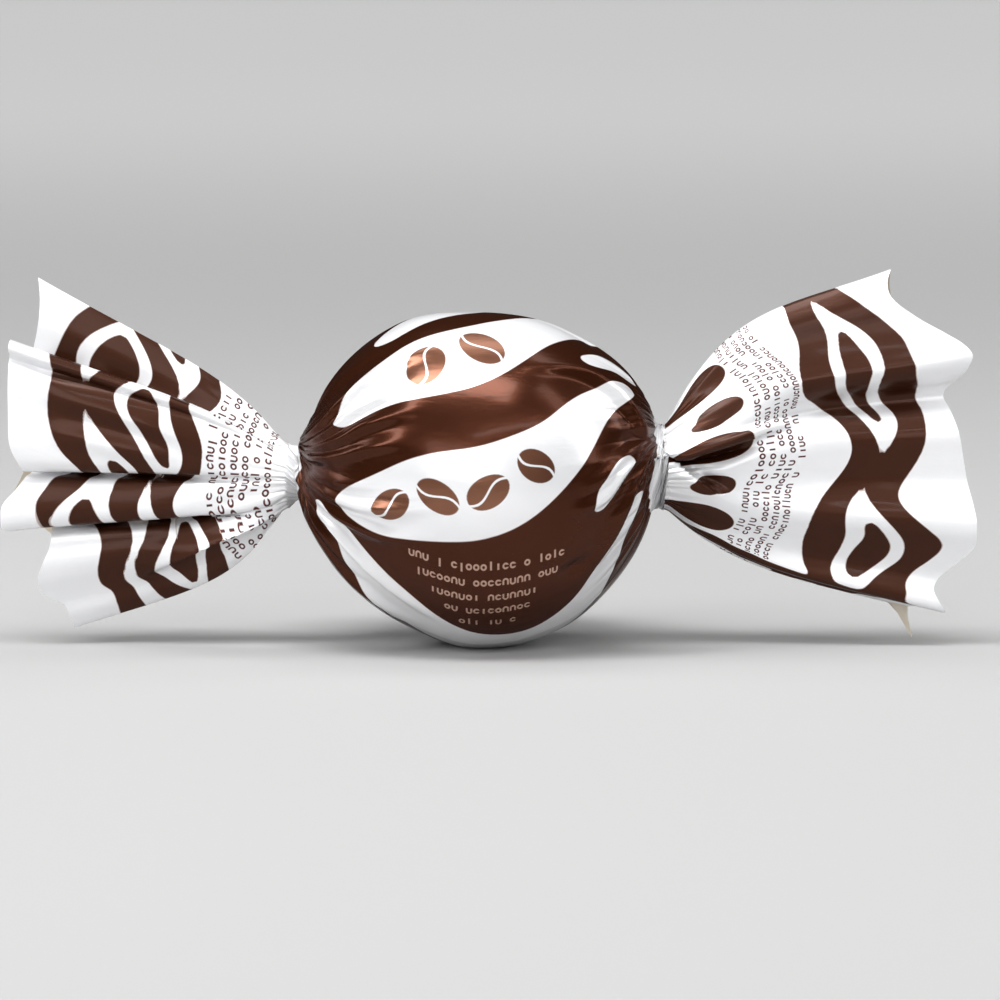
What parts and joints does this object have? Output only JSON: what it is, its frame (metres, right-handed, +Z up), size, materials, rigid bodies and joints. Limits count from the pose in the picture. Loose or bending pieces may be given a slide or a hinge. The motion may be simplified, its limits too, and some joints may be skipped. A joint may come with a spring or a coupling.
{
  "type": "wrapped chocolate truffle",
  "caption": "Round chocolate truffle shut in a brown and white printed film, twisted at both ends into fan-shaped tails.",
  "frame": {"origin": "middle of the flat spot that the ball rests on", "axes": "+X along the twist from the left tail to the right tail, the shown front faces -Y, +Z up"},
  "size_m": [0.108, 0.0374, 0.0418],
  "materials": {
    "printed_film": "glossy metallised packing film, printed in chocolate brown and pearly white, creased where it is gathered"
  },
  "bodies": {
    "root": {"wrapped_truffle": "printed_film"}
  },
  "joints": []
}
